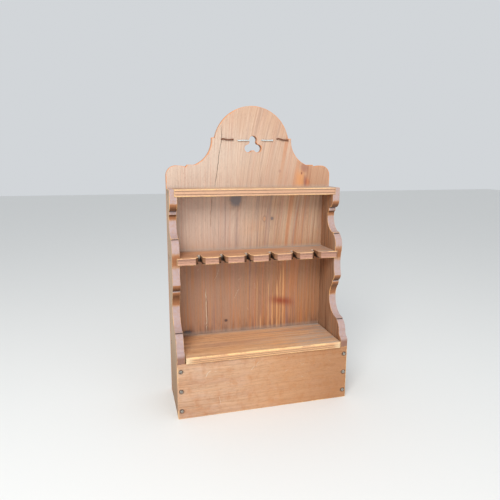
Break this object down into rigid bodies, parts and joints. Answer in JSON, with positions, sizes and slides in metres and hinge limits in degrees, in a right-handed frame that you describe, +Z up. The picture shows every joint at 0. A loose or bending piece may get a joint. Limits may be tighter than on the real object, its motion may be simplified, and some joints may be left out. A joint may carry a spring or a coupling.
{
  "type": "wall pipe rack",
  "caption": "Wooden wall rack for smoking pipes: shaped back with a pierced trefoil, scroll-cut sides, notched pipe shelf, top shelf and a lidded box.",
  "frame": {"origin": "middle of the underside of the whole rack, lid nosing included", "axes": "+Z up, +X to the viewer's right, -Y the front, +Y towards the wall"},
  "size_m": [0.35, 0.1334, 0.5969],
  "materials": {
    "backboard_wood": "worn wax, faded towards the top",
    "side_wood": "worn wax",
    "shelf_wood": "worn wax, dusty in the corners",
    "lid_wood": "worn wax, pale bare front arris",
    "box_wood": "worn wax",
    "raw_wood": "unfinished",
    "dark_iron": "oxidised",
    "rusty_wire": "rusted",
    "zinc_wire": "dull zinc"
  },
  "bodies": {
    "rack": {"backboard": "backboard_wood", "left_side": "side_wood", "right_side": "side_wood", "top_shelf": "shelf_wood", "pipe_shelf": "shelf_wood", "box_front": "box_wood", "box_bottom": "raw_wood", "hook_nail_outer_left": "rusty_wire", "hook_nail_outer_right": "rusty_wire", "hook_nail_inner_left": "zinc_wire", "hook_nail_inner_right": "zinc_wire", "backboard_nails_left": "dark_iron", "backboard_nails_right": "dark_iron", "top_shelf_nails_back": "dark_iron", "pipe_shelf_nails_back": "dark_iron", "box_bottom_nails_back": "dark_iron", "box_front_nails_left": "dark_iron", "box_front_nails_right": "dark_iron", "top_shelf_nails_left": "dark_iron", "top_shelf_nails_right": "dark_iron", "pipe_shelf_nails_left": "dark_iron", "pipe_shelf_nails_right": "dark_iron", "box_bottom_nails_left": "dark_iron", "box_bottom_nails_right": "dark_iron", "hinge_pin_left": "dark_iron", "hinge_pin_right": "dark_iron"},
    "lid": {"lid": "lid_wood"}
  },
  "joints": [
    {"name": "lid_hinge", "type": "hinge", "parent": "rack", "child": "lid", "pos_m": [0, 0.03725, 0.1185], "axis": [-1, 0, 0], "range_deg": [0, 95]}
  ]
}
